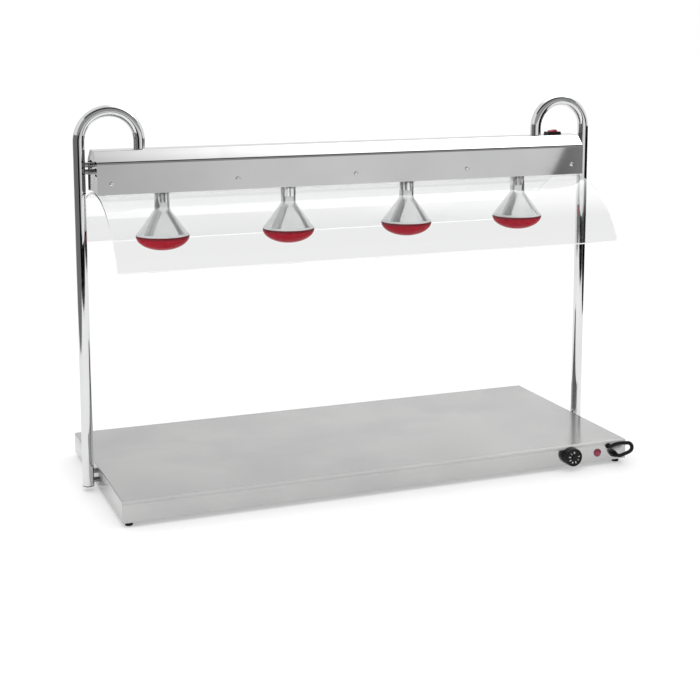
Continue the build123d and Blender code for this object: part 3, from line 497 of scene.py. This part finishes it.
for word, side in (("left", -1), ("right", 1)):
    low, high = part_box(f"post_{word}")
    crook_radius = (high.x - low.x) / 2 - tube_radius
    crook_x = (low.x + high.x) / 2
    crook_z = high.z - tube_radius - crook_radius
    post = new_piece(
        bpy.ops.mesh.primitive_circle_add,
        vertices=48,
        radius=tube_radius,
        location=(crook_x + side * crook_radius, bridge_y, low.z),
    )
    bpy.ops.object.mode_set(mode="EDIT")
    bpy.ops.mesh.select_all(action="SELECT")
    bpy.ops.mesh.extrude_region_move(TRANSFORM_OT_translate={"value": (0, 0, crook_z - low.z)})
    bpy.ops.mesh.spin(
        steps=56, angle=side * math.pi, center=(crook_x, bridge_y, crook_z), axis=(0, 1, 0)
    )
    bpy.ops.mesh.extrude_region_move(TRANSFORM_OT_translate={"value": (0, 0, leg_end_z - crook_z)})
    bpy.ops.object.mode_set(mode="OBJECT")
    outward(post)
    add_modifier(post, "SOLIDIFY", thickness=tube_wall, offset=-1)
    close_up(post, f"crooked_post_{word}", tube_chrome, "tube_chrome", f"post_{word}")
    print(post.name, extents(post))

# %% [markdown]
# ## The folded bar
# The bar is one strip of bright sheet, folded four times in a press brake into two upright sides, two sloping
# shoulders and a flat top. Its section is drawn as a line with sharp corners and drawn out along the bar. A bevel
# rounds the long edges to the radius of the fold, which is what shows as a grey line over the bar's face, and
# Solidify gives the sheet's thickness.

# %% Bar
def drawn(outline, smoothness):
    """Draws a Bezier line through places with their handles and makes it a mesh."""
    bpy.ops.object.select_all(action="DESELECT")
    bpy.ops.curve.primitive_bezier_curve_add()
    line = bpy.context.object
    points = line.data.splines[0].bezier_points
    points.add(len(outline) - len(points))
    for point, (place, handle) in zip(points, outline):
        point.handle_left_type = handle
        point.handle_right_type = handle
        point.co = place
    line.data.resolution_u = smoothness
    bpy.ops.object.convert(target="MESH")
    return bpy.context.object


bar_sheet = 0.0012
bar_side = 0.072
bar_flat = 0.046
lower_fold = 0.009
upper_fold = 0.006
shoulder_z = bar_low.z + bar_side
shoulder_slope = math.atan2(bar_high.z - shoulder_z, bridge_y - bar_flat / 2 - bar_low.y)
bar_section = [
    (bar_low.y, bar_low.z),
    (bar_low.y, shoulder_z),
    (bridge_y - bar_flat / 2, bar_high.z),
    (bridge_y + bar_flat / 2, bar_high.z),
    (bar_high.y, shoulder_z),
    (bar_high.y, bar_low.z),
]
bar = drawn([((bar_low.x, y, z), "VECTOR") for y, z in bar_section], 1)
bpy.ops.object.mode_set(mode="EDIT")
bpy.ops.mesh.select_all(action="SELECT")
bpy.ops.mesh.extrude_region_move(TRANSFORM_OT_translate={"value": (bar_high.x - bar_low.x, 0, 0)})
bpy.ops.object.mode_set(mode="OBJECT")
for fold_z, fold_turn, fold_radius in (
    (shoulder_z, math.pi / 2 - shoulder_slope, lower_fold),
    (bar_high.z, shoulder_slope, upper_fold),
):
    bpy.ops.object.mode_set(mode="EDIT")
    bpy.ops.mesh.select_mode(type="EDGE")
    bpy.ops.mesh.select_all(action="DESELECT")
    bpy.ops.object.mode_set(mode="OBJECT")
    for edge in bar.data.edges:
        ends = [bar.data.vertices[i].co for i in edge.vertices]
        level = all(abs(end.z - fold_z) < 1e-6 for end in ends)
        edge.select = level and abs(ends[0].x - ends[1].x) > bar_side
    bpy.ops.object.mode_set(mode="EDIT")
    bpy.ops.mesh.bevel(offset=fold_radius * math.tan(fold_turn / 2), segments=12, profile=0.5)
    bpy.ops.mesh.select_mode(type="VERT")
    bpy.ops.object.mode_set(mode="OBJECT")
outward(bar)
add_modifier(bar, "SOLIDIFY", thickness=bar_sheet, offset=-1)
apply_modifiers(bar)
print("bar sheet", extents(bar), "frame", bar_low, bar_high)

# %% [markdown]
# ## Holes in the bar
# The posts' legs go down through two round holes in the flat top, and the switch snaps into an oblong one. In a real
# sheet they are punched before the folding. Here a Boolean cuts them last, because the flat top has its place only
# then. The small crease angle keeps every flat face flat, so that it mirrors the room without a bulge.

# %% Bar holes
leg_xs = (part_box("post_left")[1].x - tube_radius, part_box("post_right")[0].x + tube_radius)
hole_gap = 0.00005
punch_depth = 0.03
switch_low, switch_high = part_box("switch_frame")
switch_hole = (0.0342, 0.0202, punch_depth)
punches = [
    new_piece(
        bpy.ops.mesh.primitive_cylinder_add,
        vertices=64,
        radius=tube_radius + hole_gap,
        depth=punch_depth,
        location=(leg_x, bridge_y, bar_high.z),
    )
    for leg_x in leg_xs
]
punches.append(
    new_piece(
        bpy.ops.mesh.primitive_cube_add,
        size=1,
        scale=switch_hole,
        location=((switch_low.x + switch_high.x) / 2, bridge_y, bar_high.z),
    )
)
for punch in punches:
    add_modifier(bar, "BOOLEAN", object=punch, operation="DIFFERENCE", solver="EXACT")
    apply_modifiers(bar)
    bpy.data.objects.remove(punch)
close_up(bar, "folded_bar", bar_bright, "bar_steel", "bar_shell", crease=3)
print("bar holes", len(punches), "faces", len(bar.data.polygons), extents(bar))

# %% [markdown]
# ## The clear arch
# The guard is one acrylic sheet, warmed and laid over a round former. So one edge of the sheet is drawn first, the
# long one in front, and spun about the arch's centre line. Solidify gives it the sheet's thickness.

# %% Guard
guard_sheet = 0.004
guard_radius = 0.258
guard_angle = math.radians(130)
guard_length = guard_high.x - guard_low.x
arch_centre = Vector((0, bridge_y, guard_high.z - guard_radius))
guard = new_piece(
    bpy.ops.mesh.primitive_plane_add,
    size=guard_length,
    location=arch_centre + Vector((0, -guard_length / 2, guard_radius)),
)
bpy.ops.object.mode_set(mode="EDIT")
bpy.ops.mesh.select_all(action="DESELECT")
bpy.ops.object.mode_set(mode="OBJECT")
for vertex in guard.data.vertices:
    vertex.select = vertex.co.y < bridge_y - guard_sheet
bpy.ops.object.mode_set(mode="EDIT")
bpy.ops.mesh.delete(type="VERT")
bpy.ops.mesh.select_all(action="SELECT")
bpy.ops.transform.rotate(value=guard_angle / 2, orient_axis="X", center_override=arch_centre)
bpy.ops.object.mode_set(mode="OBJECT")
swing = 1 if guard.data.vertices[0].co.y > bridge_y else -1
bpy.ops.object.mode_set(mode="EDIT")
bpy.ops.mesh.select_all(action="SELECT")
bpy.ops.mesh.spin(steps=104, angle=-swing * guard_angle, center=arch_centre, axis=(1, 0, 0))
bpy.ops.object.mode_set(mode="OBJECT")
outward(guard)
add_modifier(guard, "SOLIDIFY", thickness=guard_sheet, offset=-1)
apply_modifiers(guard)
print("guard sheet", extents(guard), "frame", guard_low, guard_high)

# %% [markdown]
# ## Holes and edges of the arch
# The necks of the lamps and five screws go through the sheet along its crown. The holes are cut by Boolean, as a
# drill would do after bending, and a small bevel breaks the sawn edges. The sheet throws no shadow, because clear
# acrylic hardly does.

# %% Guard holes and edges
lamp_boxes = [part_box(f"lamp_front_{number}") for number in range(1, 5)]
lamp_xs = [(a.x + b.x) / 2 for a, b in lamp_boxes]
screw_low, screw_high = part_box("guard_screws")
screw_head = 0.006
screw_hole = 0.003
lamp_hole = 0.027
lamp_pitch = 0.310
drill_depth = 0.04
edge_break = 0.0006
guard_screw_xs = [
    screw_low.x + screw_head,
    lamp_xs[0] + lamp_pitch / 2,
    0,
    lamp_xs[2] + lamp_pitch / 2,
    screw_high.x - screw_head,
]
drills = [(x, lamp_hole) for x in lamp_xs] + [(x, screw_hole) for x in guard_screw_xs]
for drill_x, drill_radius in drills:
    drill = new_piece(
        bpy.ops.mesh.primitive_cylinder_add,
        vertices=64,
        radius=drill_radius,
        depth=drill_depth,
        location=(drill_x, bridge_y, guard_high.z),
    )
    add_modifier(guard, "BOOLEAN", object=drill, operation="DIFFERENCE", solver="EXACT")
    apply_modifiers(guard)
    bpy.data.objects.remove(drill)
add_modifier(guard, "BEVEL", width=edge_break, segments=2, limit_method="ANGLE", angle_limit=math.radians(50))
close_up(guard, "arch_guard", clear_acrylic, "clear_acrylic", "guard", crease=12)
guard.visible_shadow = False
print("guard holes", len(drills), "faces", len(guard.data.polygons))

# %% [markdown]
# ## The reflector lamps
# A reflector lamp is blown glass, so it is round about its own axis: a narrow neck, a straight cone that is silvered
# inside, and a pressed ruby front that rolls over the widest line and ends in a shallow dome. Half of the outline is
# drawn as a Bezier line, made a mesh and spun once round. The cone and the front are two pieces, because their finish
# differs. One lamp is made and copied three times, each copy with a mesh of its own.

# %% Lamps
def turned(outline, steps=72):
    """Draws half an outline and spins it once round the upright axis."""
    piece = drawn([((radius, 0, height), handle) for radius, height, handle in outline], 6)
    bpy.ops.object.mode_set(mode="EDIT")
    bpy.ops.mesh.select_all(action="SELECT")
    bpy.ops.mesh.spin(steps=steps, angle=2 * math.pi, center=(0, 0, 0), axis=(0, 0, 1))
    bpy.ops.object.mode_set(mode="OBJECT")
    outward(piece)
    return piece


glass_wall = 0.0014
reflector_outline = [
    (0.0621, 0.0020, "VECTOR"),
    (0.0604, 0.0050, "AUTO"),
    (0.0560, 0.0105, "VECTOR"),
    (0.0215, 0.0570, "VECTOR"),
    (0.0187, 0.0628, "AUTO"),
    (0.0180, 0.0700, "VECTOR"),
    (0.0180, 0.1030, "VECTOR"),
    (0.01325, 0.1180, "VECTOR"),
]
front_outline = [
    (0.0621, 0.0020, "VECTOR"),
    (0.0625, -0.0010, "AUTO"),
    (0.0604, -0.0088, "AUTO"),
    (0.0541, -0.0170, "AUTO"),
    (0.0402, -0.0260, "AUTO"),
    (0.0214, -0.0320, "AUTO"),
    (0.0070, -0.0338, "AUTO"),
    (0.0, -0.0340, "VECTOR"),
]
masters = []
for outline in (reflector_outline, front_outline):
    master = turned(outline)
    add_modifier(master, "SOLIDIFY", thickness=glass_wall, offset=-1)
    apply_modifiers(master)
    masters.append(master)
for number, lamp_x in enumerate(lamp_xs, start=1):
    pieces = []
    for master in masters:
        only(master)
        bpy.ops.object.duplicate()
        piece = bpy.context.object
        piece.location = (lamp_x, bridge_y, lamp_top)
        pieces.append(piece)
    close_up(pieces[0], f"lamp_cone_{number}", silvered_glass, "silvered_glass", f"lamp_reflector_{number}")
    close_up(pieces[1], f"lamp_bowl_{number}", ruby_glass, "ruby_glass", f"lamp_front_{number}")
for master in masters:
    bpy.data.objects.remove(master)
print("lamps at", [round(x, 3) for x in lamp_xs], extents(pieces[0]), extents(pieces[1]))

# %% [markdown]
# ## Screws of the bar
# Five pan head screws hold each long side of the tray in the bar. A short cylinder is the start, a wide bevel domes
# its outer rim, and two crossed bars cut the recess for the driver. The head is made once, at the origin, and copied
# to its ten places, turned one way for the front face and the other way for the rear one.

# %% Bar screws
low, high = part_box("bar_screws")
head_radius = (high.z - low.z) / 2
head_rise = bar_low.y - low.y
head_z = (low.z + high.z) / 2
rim_share = 0.9
dome_share = 0.8
recess_length = 1.1 * head_radius
recess_width = 0.26 * head_radius
recess_z = 0.95 * head_rise
screw_xs = [low.x + head_radius + i * (high.x - low.x - 2 * head_radius) / 4 for i in range(5)]
head = new_piece(
    bpy.ops.mesh.primitive_cylinder_add,
    vertices=40,
    radius=head_radius,
    depth=head_rise,
    location=(0, 0, head_rise / 2),
)
bpy.ops.object.mode_set(mode="EDIT")
bpy.ops.mesh.select_all(action="DESELECT")
bpy.ops.object.mode_set(mode="OBJECT")
for edge in head.data.edges:
    edge.select = all(head.data.vertices[i].co.z > head_rise * rim_share for i in edge.vertices)
bpy.ops.object.mode_set(mode="EDIT")
bpy.ops.mesh.select_mode(type="EDGE")
bpy.ops.mesh.bevel(offset=head_rise * dome_share, segments=5, profile=0.5)
bpy.ops.mesh.select_mode(type="VERT")
bpy.ops.object.mode_set(mode="OBJECT")
for turn in (0, math.pi / 2):
    cutter = new_piece(
        bpy.ops.mesh.primitive_cube_add,
        size=1,
        scale=(recess_length, recess_width, head_rise),
        rotation=(0, 0, turn + math.pi / 4),
        location=(0, 0, recess_z),
    )
    add_modifier(head, "BOOLEAN", object=cutter, operation="DIFFERENCE", solver="EXACT")
    apply_modifiers(head)
    bpy.data.objects.remove(cutter)
heads = []
for face_y, lean in ((bar_low.y, math.pi / 2), (bar_high.y, -math.pi / 2)):
    for screw_x in screw_xs:
        only(head)
        bpy.ops.object.duplicate()
        copy = bpy.context.object
        copy.rotation_euler = (lean, 0, 0)
        copy.location = (screw_x, face_y, head_z)
        heads.append(copy)
bpy.data.objects.remove(head)
bpy.ops.object.select_all(action="DESELECT")
for copy in heads:
    copy.select_set(True)
bpy.context.view_layer.objects.active = heads[0]
bpy.ops.object.join()
screw_heads = bpy.context.object
close_up(screw_heads, "bar_screw_heads", nickel_plate, "zinc_steel", "bar_screws")
print("screw heads", extents(screw_heads), "frame", low, high)

# %% [markdown]
# ## The pilot lens
# The pilot lens is a small moulded dome of red plastic that is pushed into its barrel. It is round, so half of its
# outline is drawn and spun, as for the lamps, and the dome is then laid with its axis to the front.

# %% Pilot lens
low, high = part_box("pilot_lens")
lens_radius = (high.x - low.x) / 2
lens_rise = high.y - low.y
lens_outline = [
    (lens_radius, 0.0, "VECTOR"),
    (lens_radius, lens_rise * 0.25, "VECTOR"),
    (lens_radius * 0.90, lens_rise * 0.42, "AUTO"),
    (lens_radius * 0.68, lens_rise * 0.74, "AUTO"),
    (lens_radius * 0.36, lens_rise * 0.95, "AUTO"),
    (lens_radius * 0.10, lens_rise * 0.998, "AUTO"),
    (0.0, lens_rise, "VECTOR"),
]
lens = turned(lens_outline, steps=48)
lens.rotation_euler = (math.pi / 2, 0, 0)
lens.location = ((low.x + high.x) / 2, high.y, (low.z + high.z) / 2)
close_up(lens, "pilot_dome", red_lens, "red_lens", "pilot_lens")
print("pilot", extents(lens), "frame", low, high)

# %% [markdown]
# ## The marks on the knob
# The knob has plain figures round its face, printed in a pale ink, with the higher ones to the left, so that they
# come up under the thumb as the knob is turned to the right. The figures are text, made a mesh and thickened by a
# trace, and they ride on the knob, so that they turn with it.

# %% Knob figures
low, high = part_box("thermostat_knob")
knob_middle = (low + high) / 2
cap_rise = 0.0022
dial_recess = 0.0008
figure_size = 0.0070
figure_ring = 0.0122
figure_step = math.radians(40)
figures = 8
ink = 0.0001
ink_spread = 0.00016
dial_y = low.y + cap_rise + dial_recess
for figure in range(figures):
    turn = -figure_step * figure
    bpy.ops.object.select_all(action="DESELECT")
    bpy.ops.object.text_add()
    mark = bpy.context.object
    mark.data.body = str(figure)
    mark.data.size = figure_size
    mark.data.align_x = "CENTER"
    mark.data.align_y = "CENTER"
    mark.data.extrude = ink
    mark.data.offset = ink_spread
    bpy.ops.object.convert(target="MESH")
    mark = bpy.context.object
    mark.rotation_euler = (math.pi / 2, turn, 0)
    mark.location = (
        knob_middle.x + figure_ring * math.sin(turn),
        dial_y,
        knob_middle.z + figure_ring * math.cos(turn),
    )
    close_up(mark, f"knob_figure_{figure}", dial_print, "black_plastic", body="knob")
print("figures at", round(dial_y, 4))

# %% [markdown]
# ## The room and its light
# The object stands on a white floor in white, even light. Bright metal shows its room, and a wholly white room would
# leave the tubes without any shape, so a photographer sets dark and light boards round the object. The camera never
# sees them: reflections do, and the two at the back also show through the clear sheet. A wide bright board in front
# lights the face of the bar and falls off to the left, and a leaning patch draws the slant at the bar's right end.
# Dark boards behind these and at the right draw the black lines in the tubes, and a grey one stands on the left. A
# light grey strip above draws the line along the bar's fold, and a bright ceiling with a softbox whitens its
# shoulder.

# %% Floor and boards
def plain(name, tone, glow):
    """A plain finish for the stage: how much light it returns and how much it gives."""
    finish, shader = new_finish(name, Base_Color=(tone, tone, tone, 1.0), Roughness=1.0, Specular_IOR_Level=0.0)
    shader.inputs["Emission Color"].default_value = (1.0, 1.0, 1.0, 1.0)
    shader.inputs["Emission Strength"].default_value = glow
    return finish


def fading(name, from_x, from_glow, to_x, to_glow, front_y=None, full_y=None):
    """A lit board whose light changes along X, and fades out towards its front edge where one is given."""
    finish, shader = new_finish(name, Base_Color=(0.0, 0.0, 0.0, 1.0), Roughness=1.0, Specular_IOR_Level=0.0)
    shader.inputs["Emission Color"].default_value = (1.0, 1.0, 1.0, 1.0)
    glow = along(finish, "X", from_x, to_x, from_glow, to_glow)
    if front_y is not None:
        glow = sum_up(finish, "MULTIPLY", glow, along(finish, "Y", front_y, full_y))
    wire(finish, glow, shader.inputs["Emission Strength"])
    return finish


def board(name, finish, width, height, place, turn=(math.pi / 2, 0, 0), seen_by=("glossy",)):
    """A board that the camera never sees, only reflections, or a look through the clear sheet as well."""
    card = new_piece(bpy.ops.mesh.primitive_plane_add, size=1)
    card.scale = (width, height, 1)
    card.rotation_euler = turn
    card.location = place
    only(card)
    bpy.ops.object.transform_apply(location=True, rotation=True, scale=True)
    card.name = name
    card.data.materials.append(finish)
    card.visible_camera = False
    card.visible_diffuse = False
    card.visible_glossy = "glossy" in seen_by
    card.visible_transmission = "transmission" in seen_by
    card.visible_shadow = False


floor_size = 60
floor = new_piece(bpy.ops.mesh.primitive_plane_add, size=floor_size)
floor.name = "floor"
floor.data.materials.append(plain("floor_white", 0.75, 0.30))

dark = plain("board_dark", 0.0, 0.004)
dim = plain("board_dim", 0.0, 0.03)
grey = plain("board_grey", 0.0, 0.20)
strip = plain("board_strip", 0.0, 0.36)
back_lit = plain("board_back_lit", 0.0, 0.87)
back_high_lit = plain("board_back_high_lit", 0.0, 1.03)
front_lit = fading("board_front_lit", -0.2, 0.72, 0.5, 0.95)
front_fade_lit = fading("board_front_fade_lit", -0.95, 0.02, -0.45, 0.72)
patch_lit = fading("board_patch_lit", 1.66, 0.12, 1.88, 0.36)
ceiling_lit = fading("board_ceiling_lit", -0.3, 0.95, 0.25, 1.70, -0.9, 0.1)
softbox_lit = fading("board_softbox_lit", 0.3, 1.6, 1.7, 4.2, -0.9, 0.1)
upright_side = (math.pi / 2, 0, math.pi / 2)
leaning = (math.pi / 2, math.radians(15), 0)
flat = (0, 0, 0)
board("board_front_dark", dark, 9.0, 1.1, (0.0, -2.12, 0.55))
board("board_front_lit", front_lit, 2.6, 0.66, (0.85, -2.10, 0.63))
board("board_front_fade", front_fade_lit, 0.50, 0.66, (-0.70, -2.10, 0.63))
board("board_front_patch", patch_lit, 0.40, 1.2, (1.893, -2.08, 0.405), leaning)
board("board_front_above", strip, 9.0, 4.0, (0.0, -2.11, 2.98))
board("board_left", grey, 4.0, 1.1, (-2.1, -0.1, 0.55), upright_side)
board("board_right", dark, 4.0, 0.72, (2.2, -0.1, 0.36), upright_side)
board("board_back", back_lit, 14.0, 3.2, (0.0, 2.6, 1.6), seen_by=("glossy", "transmission"))
board("board_back_high", back_high_lit, 14.0, 0.14, (0.0, 2.5, 0.388), seen_by=("transmission",))
board("board_ceiling_front", dim, 7.0, 1.1, (1.0, -1.45, 3.0), flat)
board("board_ceiling", ceiling_lit, 7.0, 3.3, (1.0, 0.75, 3.0), flat)
board("board_softbox", softbox_lit, 2.5, 3.1, (1.55, 0.65, 2.98), flat)

# %% [markdown]
# ## The white world and the lamp over it
# An even white world gives the pure white ground of a catalogue picture, shown plain, with no film curve over it. One
# weak softbox over the front left gives the soft shadow under the plate a direction. It stays out of reflections,
# because the boards already draw those.

# %% World and light
world = bpy.data.worlds.new("white_room")
world.use_nodes = True
world.node_tree.nodes["Background"].inputs["Color"].default_value = (1.0, 1.0, 1.0, 1.0)
world.node_tree.nodes["Background"].inputs["Strength"].default_value = 1.0
bpy.context.scene.world = world
bpy.context.scene.view_settings.view_transform = "Standard"
softbox_place = (-0.9, -1.6, 2.6)
softbox_turn = (math.radians(32), 0, math.radians(-25))
bpy.ops.object.light_add(type="AREA", location=softbox_place, rotation=softbox_turn)
softbox = bpy.context.object
softbox.name = "softbox"
softbox.data.size = 1.6
softbox.data.energy = 12.0
softbox.visible_glossy = False
softbox.visible_transmission = False
print("world and softbox ready")
